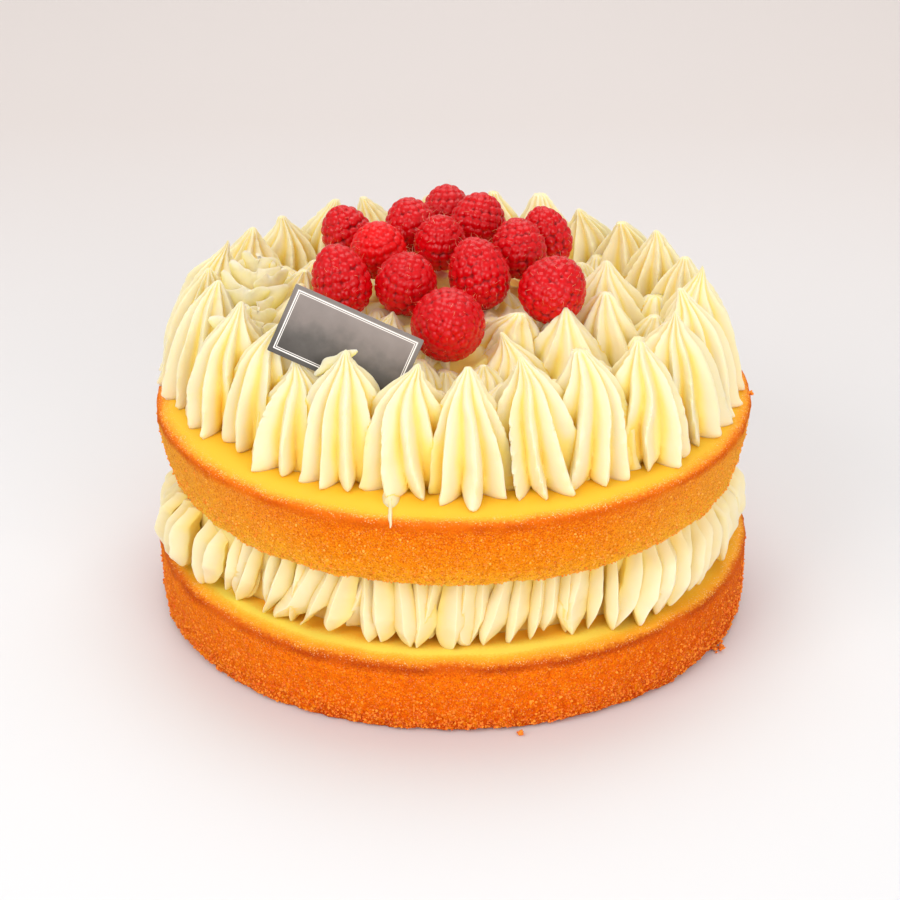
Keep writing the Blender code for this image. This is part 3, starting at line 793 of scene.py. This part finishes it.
def dollop_mesh(dollop, dollops, own, width, flutes, groove, columns, rows, seed):
    """A fluted body of cream, its share of the height running from 0 to 1.

    Radius = oval * (width(share) + skirt) * (1 - peak) * (1 + swell) * (1 - depth * (1 - lobe)). The lobe is near 1
    on a fold and near 0 in a hollow: 1 - (sin(turn / 2)^2 + 0.006)^0.75, blended towards the foot with the rounder
    (1 - |turn / pi|^2.4)^0.7. The turn wanders by three cosines and by smooth noise of 9 mm, and leans to one side
    by skew * (1 + cos(turn)). The skirt spreads the foot by (1 - share)^1.6. Each fold ends in a toe of
    exp(-(rise / 3)^2), and each hollow tucks in under a quarter circle, so that the toes stand apart. Some crests
    are torn in steps of 1.6 to 3.2 mm. The top draws out to a peak that bends over.
    """
    rng = np.random.default_rng(seed)
    low = np.array((-0.6, 0.0, 0.2, 0.5, 0.9, 1.4, 2.0, 2.7, 3.5, 4.4, 5.4))
    rise = np.concatenate([low, np.linspace(6.5, dollop["tall"] * rng.uniform(0.91, 0.98), rows - len(low))])
    rise, angle = np.meshgrid(rise, full_turn(columns), indexing="ij")
    share = np.clip(rise / dollop["tall"], 0, 1)
    waves = np.arange(1, 4)[:, None, None]

    def sway(most):
        amounts = rng.uniform(-most, most, (3, 1, 1))
        return (amounts * np.cos(waves * angle + rng.uniform(0, TAU, (3, 1, 1)))).sum(0)

    def per_flute(least, most):
        return rng.uniform(least, most, flutes)[flute]

    wander, swell = sway(0.7), sway(0.035)
    turn = flutes * (angle - dollop["phase"] - dollop["twist"] * share ** 0.8) + wander
    turn = turn + 1.1 * smooth_noise(around(11, angle, rise * 0.8), 9.0, seed + 5)
    flute = np.rint(turn / TAU).astype(int)
    turn = turn - TAU * flute
    flute = flute % flutes
    turn = turn + (rng.uniform(-0.45, 0.45) + per_flute(-0.3, 0.3)) * (1 + np.cos(turn))
    crisp = 1 - (np.sin(turn / 2) ** 2 + 0.006) ** 0.75
    blunt = (1 - np.clip(np.abs(turn) / math.pi, 0, 1) ** 2.4) ** 0.7
    fold = crisp + (blunt - crisp) * 0.36 * smooth_step(0.34, 0.02, share)
    lobe = np.clip(fold, 0, 1) * per_flute(0.62, 1.18)
    crest, hollow = np.clip(lobe, 0, 1), np.clip(1 - lobe, 0, 1)
    depth = groove * (1.12 - 0.35 * share)
    outside, inside = dollop["skirt"]
    skirt = np.where(np.cos(angle) > 0, outside, inside) * np.abs(np.cos(angle)) ** 0.5 * (1 - share) ** 1.6
    peak = rng.uniform(0.15, 0.6) * smooth_step(0.64, 0.98, share)
    body = (width(share) + skirt) * (1 - peak) * (1 + swell) * (1 - depth * (1 - lobe))
    oval = (
        dollop["away"] * (dollop["widths"][0] * np.cos(angle))[..., None]
        + dollop["across"] * (dollop["widths"][1] * np.sin(angle))[..., None]
    )
    outward = unit(oval)
    toe = per_flute(0.2, 2.3) * crest ** 2.2 * np.exp(-(np.maximum(rise, 0) / 3.0) ** 2)
    tuck = 1.0 + per_flute(2.6, 4.6) * hollow
    under = np.clip(1 - rise / tuck, 0, 1)
    tucked = tuck * (1 - np.sqrt(np.clip(1 - under ** 2, 0, 1)))
    bend_way = rng.uniform(0, TAU)
    bend = np.array((math.cos(bend_way), math.sin(bend_way))) * rng.uniform(0.6, 3.4)
    centre = dollop["place"] + dollop["lean"] * share[..., None] ** 1.5
    centre = centre + bend * smooth_step(0.68, 1.0, share)[..., None] ** 1.5
    flat = centre + oval * body[..., None] + outward * (toe - tucked)[..., None]
    points = np.concatenate([flat, (dollop["base"] + rise)[..., None]], axis=-1)
    lumps = 0.16 * smooth_noise(points, 3.4, seed + 7) + 0.35 * smooth_noise(points, 8.0, seed + 8)
    lumps += 0.09 * smooth_noise(points, 1.2, seed + 9) * (1 + 2 * smooth_step(4.0, 0.5, rise))
    strands = around(40, angle, rise * 0.25)
    lumps += 0.20 * smooth_noise(strands, 4.4, seed + 11) * smooth_step(0.0, 0.12, share)
    lumps += 0.5 * smooth_noise(points, 1.5, seed + 12) * smooth_step(3.2, 0.4, rise) * crest
    lumps += 0.55 * smooth_noise(points, 1.3, seed + 13) * smooth_step(0.74, 0.94, share)
    step = (rise / per_flute(1.6, 3.2) + per_flute(0, 1)) % 1
    torn = per_flute(0, 1) ** 2 * smooth_step(0.25, 0.6, share)
    lumps -= 0.9 * step ** 2 * torn * crest ** 2
    points[..., :2] += outward * (lumps * np.clip(width(share) * 3, 0, 1))[..., None]
    # Painted shade: a deeper yellow in the hollows between folds, more so low down, and where other dollops stand
    # close.
    shadow = hollow ** 1.9 * (0.42 + 0.40 * (1 - share) ** 0.7)
    near = closeness(points, dollops, own, width)
    crevice_shade = np.clip(shadow + 0.45 * near ** 1.6 * (1 - 0.3 * share), 0, 1)
    crown = points[-1].mean(0) + np.array((0, 0, dollop["tall"] * 0.012))
    return tube_mesh("dollop", points, points[0].mean(0), crown, {"crevice_shade": crevice_shade + 1})


def curl_mesh(curl, seed):
    """A curl of cream: a flattened tube along a smoothed line, upright where the line is level, its ends pointed.

    Its upper edge sways to the sides by sin(1.4 * way), rises and dips by sin(2.3 * way), and is roughened.
    """
    wide, thick, *corners = curl
    rows = 40
    t = np.linspace(0, len(corners) - 1, rows)
    line = np.stack([moving_mean(np.interp(t, np.arange(len(corners)), axis), 5) for axis in zip(*corners)], axis=-1)
    along = unit(np.gradient(line, axis=0))
    side = unit(np.cross(along, (0, 0, 1.0)))
    down = np.cross(along, side)
    side, down = side[:, None], down[:, None]
    taper = (np.sin(math.pi * np.linspace(0.02, 0.98, rows)) ** 0.55)[:, None]
    turn = full_turn(24)
    points = (
        line[:, None]
        + side * (thick * taper * np.cos(turn) * (0.65 + 0.35 * np.sin(turn)))[..., None]
        + down * (wide * taper * np.sin(turn))[..., None]
    )
    upper = np.clip(-np.sin(turn), 0, 1)[None] ** 1.5 * taper
    way = np.linspace(0, TAU, rows)[:, None]
    points = points + side * (0.28 * wide * np.sin(1.4 * way + seed) * upper)[..., None]
    points = points + down * (0.14 * wide * np.sin(2.3 * way + 1.7 * seed) * upper)[..., None]
    points = points + down * (0.35 * smooth_noise(points, 1.8, seed) * upper)[..., None]
    points = points + side * (0.22 * smooth_noise(points, 1.6, seed + 1) * taper)[..., None]
    # Painted shade over the whole curl, deeper on its lower side.
    crevice_shade = 0.26 + 0.32 * smooth_step(-0.5, 1.1, np.sin(turn)) + 0 * taper
    return tube_mesh("curl", points, points[0].mean(0), points[-1].mean(0), {"crevice_shade": crevice_shade + 1})


def ruffle_between(index, way, reach):
    """A short curl in the nest: places step along its length by equal shares and across it by a golden share."""
    share = (index + 0.5) / NEST_RUFFLES
    x = NEST_CENTRE[0] + NEST_HALF[0] * (2 * (index * 0.618 % 1) - 1)
    y = NEST_CENTRE[1] + NEST_HALF[1] * (2 * share - 1)
    z = NEST_FOOT + (NEST_TOP - NEST_FOOT) * share
    step = reach * np.array((math.cos(way), math.sin(way)))
    return (3.2, 0.9, (x - step[0], y - step[1], z + 2.0), (x, y, z - 0.6), (x + step[0], y + step[1], z + 2.5))


def dome_mesh():
    """A low dome: its profile is a smooth curve through the given heights, ruffled by lobes that spiral inwards.

    It carries a painted red shade where berries stand close together: the sum of exp(-gap / 3.5) over the berries.
    It is also painted a deeper shade where it lies low.
    """
    centre = np.array((*RING_CENTRE, 0.0))
    radius, height = np.transpose(DOME_PROFILE)
    rows = np.linspace(66.0, 1.0, 60)
    level = moving_mean(np.interp(rows, radius, height), 3, mode="edge")
    ring, angle = np.meshgrid(rows, full_turn(180), indexing="ij")
    ruffle = 1.9 * (1 - np.abs(np.sin(7 * angle + ring * 0.35)) ** 1.4) * smooth_step(4, 20, ring)
    points = centre + around(ring, angle, UPPER_TOP + (level[:, None] + ruffle))
    points[..., 2] += 0.5 * smooth_noise(points, 5.0, 81) + 0.5 * smooth_noise(points, 2.2, 82)
    sunk = UPPER_TOP - 0.6
    skirt = points[:1].copy()
    skirt[..., 2] = sunk
    points = np.concatenate([skirt, points])
    shade = 0
    for number in range(1, len(BERRIES) + 1):
        gap = np.linalg.norm(points[..., :2] - berry_middle(number)[:2], axis=-1) - 8.0
        shade = shade + np.exp(-np.maximum(gap, 0) / 3.5)
    # Painted shade where the dome lies low, and a painted red shade between close berries.
    crevice_shade = smooth_step(30, 14, points[..., 2] - UPPER_TOP)
    crevice_shade = crevice_shade + (2 - crevice_shade) * 0.95 * smooth_step(0.95, 1.5, shade)
    foot, crown = (centre + (0, 0, z) for z in (sunk, points[-1, :, 2].mean()))
    return tube_mesh("dome", points, foot, crown, {"crevice_shade": crevice_shade + 1})


def make_topping():
    """The outer row as one piece, and the dome with every other row and the nest of curls as another."""
    draw = random.Random(SEED)
    inner, outer, saddle, crown = (piped_row(row, draw) for row in (INNER, OUTER, SADDLE, CROWN))
    inner[0]["tall"] -= 5.0
    for dollop in outer:
        dollop["widths"] = dollop["widths"] * np.array((1.0, 1.13))
    for dollop in saddle:
        dollop["twist"] *= 3.0
    for dollop in crown:
        dollop["base"] = UPPER_TOP + CROWN_FOOT
        dollop["tall"] = min(dollop["tall"], CROWN_TALLEST)
    everyone = inner + outer
    border = [dollop_mesh(dollop, everyone, len(inner) + index, kiss_width, 10, 0.38, 112, 46, 100 + index)
              for index, dollop in enumerate(outer)]
    border += [curl_mesh(curl, 700 + index) for index, curl in enumerate(BORDER_CURLS)]
    # Cream colours run from the lit crest to the painted shade of grooves and the deeper painted shade of gaps.
    look = cream_material("piped_cream", (235, 222, 180), (245, 222, 118), (247, 202, 68))
    add_piece("cream_border", fuse("cream_border", border, SHARP, 0.8), look, ("cream_topping",))
    for place, foot, tall, widths in FILLERS:
        crown.append({
            "place": np.array(place), "away": np.array((0.0, -1.0)), "across": np.array((1.0, 0.0)),
            "lean": np.array((0.0, 1.0)), "widths": np.array(widths), "tall": tall, "phase": place[0] % 0.7,
            "twist": 0.8, "base": UPPER_TOP + foot, "skirt": (0.2, 0.2),
        })
    middle = [dome_mesh()]
    middle += [dollop_mesh(dollop, everyone, index, kiss_width, 9, 0.36, 96, 42, 200 + index)
               for index, dollop in enumerate(inner)]
    middle += [dollop_mesh(dollop, everyone, -1, mound_width, 9, 0.32, 72, 30, 400 + index)
               for index, dollop in enumerate(saddle)]
    middle += [curl_mesh(curl, 720 + index) for index, curl in enumerate(NEST_CURLS)]
    for index in range(NEST_RUFFLES):
        way = draw.uniform(-0.9, 0.9)
        middle.append(curl_mesh(ruffle_between(index, way, draw.uniform(5.5, 8.0)), 740 + index))
    middle += [dollop_mesh(dollop, crown, index, mound_width, 9, 0.30, 80, 34, 250 + index)
               for index, dollop in enumerate(crown)]
    # The last colour is a painted red shade between close berries.
    look = cream_material("inner_cream", (243, 230, 190), (246, 225, 130), (248, 208, 86), (190, 84, 58))
    add_piece("cream_crown", fuse("cream_crown", middle, SHARP, 0.8), look, ("cream_topping",))


def filling_bulge(azimuth):
    """How much further the tongues reach in a direction: straight lines between the rows of FILLING_BULGES."""
    directions, reaches = np.transpose(FILLING_BULGES)
    return np.interp((np.degrees(azimuth) + 90) % 360 - 90, directions, reaches)


def tongue_mesh(azimuth, reach, half_width, slant, curl, kick, lift, seed):
    """One tongue of squashed cream, a flattened tube that runs down from under the upper sponge.

    Along it, t goes from 0 to 1: height falls evenly to the lift; the middle line swells out by 1.4 * sin(pi * t)
    and its foot kicks out by t^3; where it reaches past the sponge, its top draws in; it slants by t and curls by
    t^2; it widens and then closes to a pointed toe that hooks to one side. Across it, the outer face is an arch
    1 - |sin(turn)|^crest, its crest off to one side.
    """
    rng = np.random.default_rng(900 + seed)
    rows, columns = 28, 24
    t = np.linspace(0, 1, rows) ** 0.9
    turn = full_turn(columns)
    point = rng.uniform(0.50, 0.76)
    closing = np.clip((t - point) / (1 - point), 0, 1)
    toe = np.clip(1 - closing ** rng.uniform(1.3, 2.2), 0.03, 1) ** 0.8
    width = half_width * (0.78 + 0.40 * smooth_step(0.1, 0.7, t)) * toe
    hook = rng.choice((-0.95, -0.75, -0.5, 0.35)) * half_width
    thick = rng.uniform(3.6, 4.8) * (0.95 + 0.10 * np.sin(math.pi * t)) * toe ** 0.7
    middle_r = reach - 4.2 + 1.4 * np.sin(math.pi * t) + kick * t ** 3
    middle_r = middle_r - np.clip(0.8 * (reach - 82.0), 0.0, 4.0) * smooth_step(0.30, 0.0, t)
    middle_x = slant * t + curl * t ** 2 + hook * closing ** 1.3
    middle_z = UPPER_BOTTOM + 0.8 - (UPPER_BOTTOM + 0.8 - LOWER_TOP - lift) * t
    skew = rng.uniform(-0.85, 0.35)
    crest = rng.uniform(0.85, 1.25)
    across = np.sin(turn) * (1 + 0.12 * np.cos(turn)) + skew * np.clip(np.cos(turn), 0, 1) ** 1.5
    arch = np.where(np.cos(turn) > 0, 1 - np.abs(np.sin(turn)) ** crest, np.abs(np.sin(turn)) ** 3 - 1)
    radial = middle_r[:, None] + thick[:, None] * arch
    sideways = middle_x[:, None] + width[:, None] * across
    points = np.stack([
        radial * math.cos(azimuth) - sideways * math.sin(azimuth),
        radial * math.sin(azimuth) + sideways * math.cos(azimuth),
        middle_z[:, None] + 0.4 * thick[:, None] * arch * smooth_step(0.7, 1.0, t)[:, None],
    ], axis=-1)
    away = np.array((math.cos(azimuth), math.sin(azimuth)))
    wobble = 0.5 * smooth_noise(points, 4.0, 600 + seed % 16) + 0.2 * smooth_noise(points, 1.4, 620)
    points[..., :2] += away * wobble[..., None]
    points[..., 2] += rng.uniform(-1.1, 1.1) * width[:, None] * across * smooth_step(0.45, 1.0, t)[:, None]
    points[..., 2] = np.maximum(points[..., 2], LOWER_TOP - 0.2)
    # Painted shade in the hollows of the arch and where the tongue runs under the upper sponge.
    hollow = np.clip(np.clip(1 - arch, 0, 2) ** 1.2 * 0.50, 0, 0.62)
    crevice_shade = np.clip(hollow + 0.22 * smooth_step(0.4, 0.0, t)[:, None], 0, 1)
    grid = points[::-1]
    return tube_mesh("tongue", grid, grid[0].mean(0), grid[-1].mean(0), {"crevice_shade": crevice_shade[::-1] + 1})


def make_filling():
    """Fans of four tongues, each fan a dollop squashed by the sponge above, round a disc that runs through."""
    draw = random.Random(SEED + 5)
    pieces = []
    for fan in range(FILLING_FANS):
        middle = TAU * (fan + draw.uniform(-0.16, 0.16)) / FILLING_FANS
        lean = draw.uniform(-8.0, -0.5) if fan % 6 else draw.uniform(0.0, 4.0)
        spread = draw.uniform(0.3, 1.9)
        reach = FILLING_RADIUS + draw.uniform(-1.2, 0.9)
        for step in range(FAN_TONGUES):
            part = step - (FAN_TONGUES - 1) / 2
            azimuth = middle + (part * 5.0 + draw.uniform(-0.9, 0.9)) / 80.0
            pieces.append(tongue_mesh(
                azimuth,
                reach - 0.35 * part ** 2 + float(filling_bulge(azimuth)) + draw.uniform(-2.0, 0.8),
                draw.choice((2.4, 2.8, 3.2, 3.8, 5.2)),
                lean + part * spread + draw.uniform(-0.8, 0.8),
                draw.uniform(-2.6, 2.0),
                draw.uniform(2.6, 6.8) * (1 - 0.6 * abs(math.cos(azimuth)) ** 3),
                draw.choice((0.2, 0.2, 0.3, 0.5, 0.9, 1.6)),
                len(pieces),
            ))
    angle = full_turn(240)
    radius = np.minimum(FILLING_RADIUS - 3.6 + 0.9 * filling_bulge(angle), CORE_MOST)
    foot, crown = LOWER_TOP - 0.3, UPPER_BOTTOM + 0.3
    levels = ((foot, 4.0), (LOWER_TOP + 2.5, 2.4), (crown, 0.4))
    core = np.stack([around(radius - back, angle, z) for z, back in levels])
    # The disc showing between the tongues is painted as shade all over.
    disc = tube_mesh("core", core, (0, 0, foot), (0, 0, crown), {"crevice_shade": np.full(core.shape[:2], 1.52)})
    # Colours from the lit crest to the painted shade of the hollows and gaps.
    look = cream_material("filling_cream", (236, 219, 164), (245, 216, 108), (247, 204, 82))
    add_piece("cream_between", fuse("cream_between", [disc] + pieces, SHARP, 0.5), look, ("cream_filling",))


# ---------------- berries

def berry_surface(polar, angle, half_width, half_length):
    """A blunt egg: radius = width * sin(polar) * (1 - 0.1 cos(polar)), height = length * cos(polar)."""
    return around(half_width * np.sin(polar) * (1 - 0.10 * np.cos(polar)), angle, half_length * np.cos(polar))


def drupelet_places(half_width, half_length, rng):
    """Polar and turning angles of drupelets in level rows, each row started anywhere and jittered a little."""
    spacing = 2.9
    rows = int(round(math.pi * (half_width + half_length) / 2 / (spacing * 0.9)))
    polar, angle = [], []
    for row in range(rows):
        middle = math.pi * (row + 0.35) / rows
        count = max(1, int(round(TAU * half_width * math.sin(middle) / spacing)))
        start = rng.uniform(0, TAU)
        for k in range(count):
            polar.append(middle + rng.uniform(-0.05, 0.05))
            angle.append(start + TAU * (k + rng.uniform(-0.10, 0.10)) / count)
    return np.array(polar), np.array(angle)


def berry_mesh(name, centre, half_width, half_length, tilt, direction, seed):
    """The egg raised into drupelets: height = 1.3 * sqrt(1 - (d / 1.95)^2), d the distance to the nearest middle.

    It comes with the places and directions of the drupelets' middles, where hairs can grow.
    """
    rng = np.random.default_rng(seed)
    inset, relief, drupelet = 0.35, 1.3, 1.95
    egg = (half_width - inset, half_length - inset)
    squares = np.array((half_width, half_width, half_length)) ** 2
    upright = (turn_matrix(direction, "Z") @ turn_matrix(tilt, "Y")).T
    middles = berry_surface(*drupelet_places(*egg, rng), *egg)
    polar, angle = np.meshgrid(np.linspace(math.pi - 0.03, 0.03, 100), full_turn(190), indexing="ij")
    skin = berry_surface(polar, angle, *egg)
    distance = np.linalg.norm(skin[:, :, None] - middles, axis=-1)
    nearest = distance.argmin(axis=-1)
    sizes = rng.uniform(0.93, 1.08, len(middles))
    ratio = np.clip(distance.min(axis=-1) / (drupelet * sizes[nearest]), 0, 1)
    hump = np.sqrt(1 - ratio ** 2)
    points = skin + unit(skin / squares) * (inset - relief * (1 - hump))[..., None]
    points = points @ upright + centre
    tints = rng.uniform(0, 0.55, len(middles))
    # The seams between drupelets carry painted shade.
    values = {"seam_shade": 1 - smooth_step(0.35, 0.8, hump), "tint": tints[nearest]}
    mesh = tube_mesh(name, points, points[0].mean(0), points[-1].mean(0), values)
    normals = unit(middles / squares)
    return mesh, (middles + normals * inset) @ upright + centre, normals @ upright


def hairs_mesh(roots, normals, rng):
    """Fine curved hairs: each a three-sided taper of four rings that bends sideways by the square of its length."""
    count = len(roots)
    side = unit(np.cross(normals, rng.normal(size=(count, 3))))
    other = np.cross(normals, side)
    length = rng.uniform(0.9, 2.1, count)
    start = roots + side * rng.uniform(-1.4, 1.4, (count, 1)) - normals * 0.5
    rings = []
    for level in range(4):
        share = level / 3
        middle = start + normals * (length * share)[:, None] + side * (length * 0.8 * share ** 2)[:, None]
        thickness = 0.055 * (1 - 0.75 * share)
        turns = [TAU * corner / 3 for corner in range(3)]
        rings.append(np.stack([middle + (side * math.cos(turn) + other * math.sin(turn)) * thickness
                               for turn in turns], axis=1))
    points = np.stack(rings, axis=1).reshape(-1, 3)
    quads = []
    for low in (0, 3, 6):
        for corner, following in ((0, 1), (1, 2), (2, 0)):
            quads.append((low + corner, low + following, low + 3 + following, low + 3 + corner))
    ends = [(2, 1, 0), (9, 10, 11)]
    steps = (12 * np.arange(count))[:, None, None]
    return build_mesh("hairs", points, np.array(quads)[None] + steps, np.array(ends)[None] + steps)


def make_berries():
    """Every berry as a piece of its own, and one piece with the hairs of them all."""
    rng = np.random.default_rng(5)
    # The second colour of each skin is the painted shade in its seams.
    deep = berry_material("berry_skin", srgb(202, 1, 10), srgb(158, 1, 8))
    bright = berry_material("bright_berry_skin", srgb(230, 12, 14), srgb(196, 6, 8))
    roots, normals = [], []
    for number, shape in enumerate(BERRIES, 1):
        node = f"berry_{number:02d}"
        mesh, root, normal = berry_mesh(node, berry_middle(number), *shape, 499 + number)
        look = bright if number == BRIGHT_BERRY else deep
        add_piece(f"drupelets_{number:02d}", mesh, look, (node,))
        chosen = rng.permutation(len(root))[:HAIRS_PER_BERRY]
        roots.append(root[chosen])
        normals.append(normal[chosen])
    hairs = hairs_mesh(np.concatenate(roots), np.concatenate(normals), rng)
    add_piece("berry_hairs", hairs, plain_material("berry_hair", srgb(232, 190, 140), 0.5))


# ---------------- plaque

def make_plaque():
    """A thin rounded card: four rings of one rounded rectangle, the outer two drawn in by the edge's bevel."""
    corner, bevel, sides = 0.35, 0.08, 64
    angle = full_turn(sides) + math.pi / sides
    half, thick = PLAQUE_SIZE[:2] / 2, PLAQUE_SIZE[2] / 2
    turns = np.stack([np.cos(angle), np.sin(angle)], axis=-1)
    outline = np.sign(turns) * (half - corner) + corner * turns
    flat = np.stack([outline * (1 - inset / half) for inset in (bevel, 0.0, 0.0, bevel)])
    levels = np.array((-thick, -thick + bevel, thick - bevel, thick))
    grid = np.concatenate([flat, np.broadcast_to(levels[:, None, None], (4, sides, 1))], axis=-1)
    stand = turn_matrix(-PLAQUE_LEAN, "X") @ turn_matrix(-PLAQUE_ROLL, "Y") @ turn_matrix(90, "X")
    centre = sum(node_box("plaque")) / 2
    poles = np.array(((0, 0, -thick), (0, 0, thick))) @ stand.T + centre
    mesh = tube_mesh("plaque_card", grid @ stand.T + centre, *poles, sharp_angle=30)
    face = np.concatenate([flat.reshape(-1, 2), [(0, 0), (0, 0)]]) / PLAQUE_SIZE[:2]
    corners = np.empty(len(mesh.loops), dtype=np.int32)
    mesh.loops.foreach_get("vertex_index", corners)
    mesh.uv_layers.new(name="face").uv.foreach_set("vector", face[corners].astype(np.float32).ravel())
    add_piece("plaque_card", mesh, card_material(), ("plaque",))


# ---------------- stage

def make_stage():
    """A pale floor that sweeps up, by a quarter circle, into a backdrop far behind the cake."""
    bend = [(700 + 500 * math.sin(a), 500 - 500 * math.cos(a)) for a in np.linspace(0.1, math.pi / 2, 16)]
    run = np.concatenate([np.linspace((-6000, 0), (700, 0), 8), bend, [(1200, 2400)]])
    across = np.linspace(-5000, 5000, 3)
    grid = np.stack([
        across[None] + 0 * run[:, :1],
        run[:, :1] + 0 * across,
        run[:, 1:] - 0.05 + 0 * across,
    ], axis=-1)
    rows, columns = grid.shape[:2]
    index = np.arange(rows * columns).reshape(rows, columns)
    quads = np.stack([index[:-1, :-1], index[:-1, 1:], index[1:, 1:], index[1:, :-1]], axis=-1)
    mesh = build_mesh("floor", grid.reshape(-1, 3), quads.reshape(-1, 4), [])
    floor = bpy.data.objects.new("floor", mesh)
    bpy.context.scene.collection.objects.link(floor)
    m = Nodes("pale_floor")
    behind = m.span(m.split(m.place)[1], 0.02, 0.42)
    colour = m.mix(behind, srgb(226, 227, 229), srgb(216, 209, 206))
    mesh.materials.append(m.finish(Base_Color=colour, Roughness=0.6, Specular_IOR_Level=0.25))


def add_light(name, place, target, size, power):
    """A square soft light that faces its target, places in metres."""
    data = bpy.data.lights.new(name, "AREA")
    data.size = size
    data.energy = power
    light = bpy.data.objects.new(name, data)
    light.location = place
    x, y, z = np.array(target) - np.array(place)
    light.rotation_euler = (math.pi / 2 + math.atan2(z, math.hypot(x, y)), 0, math.atan2(y, x) - math.pi / 2)
    bpy.context.scene.collection.objects.link(light)


def make_light():
    """Three soft lights, each with its width in metres and its power in watts, and an even pale sky."""
    add_light("window", (-0.70, -0.75, 0.80), (0, 0, 0.06), size=0.7, power=5.3)
    add_light("overhead", (0.05, 0.50, 1.20), (0, 0, 0.06), size=1.0, power=7.5)
    add_light("front", (0.46, -1.10, 0.42), (0, 0, 0.05), size=0.8, power=6.1)
    scene = bpy.context.scene
    scene.world = bpy.data.worlds.new("studio")
    scene.world.use_nodes = True
    sky = scene.world.node_tree.nodes["Background"]
    sky.inputs["Color"].default_value = (1.0, 0.985, 0.97, 1.0)
    sky.inputs["Strength"].default_value = 0.67
    scene.view_settings.view_transform = "Standard"
    scene.view_settings.look = "None"


def make_camera():
    """A long lens, looking down on the front of the cake at 26.65 degrees."""
    elevation = math.radians(26.65)
    distance = 0.8263
    target = (-0.00102, 0.0, 0.045)
    data = bpy.data.cameras.new("camera")
    data.sensor_width = 36.0
    data.lens = 108.0
    camera = bpy.data.objects.new("camera", data)
    camera.location = (target[0], -distance * math.cos(elevation), target[2] + distance * math.sin(elevation))
    camera.rotation_euler = (math.pi / 2 - elevation, 0, 0)
    bpy.context.scene.collection.objects.link(camera)
    bpy.context.scene.camera = camera


make_stage()
make_camera()
make_light()
make_sponges()
make_filling()
make_topping()
make_berries()
make_plaque()
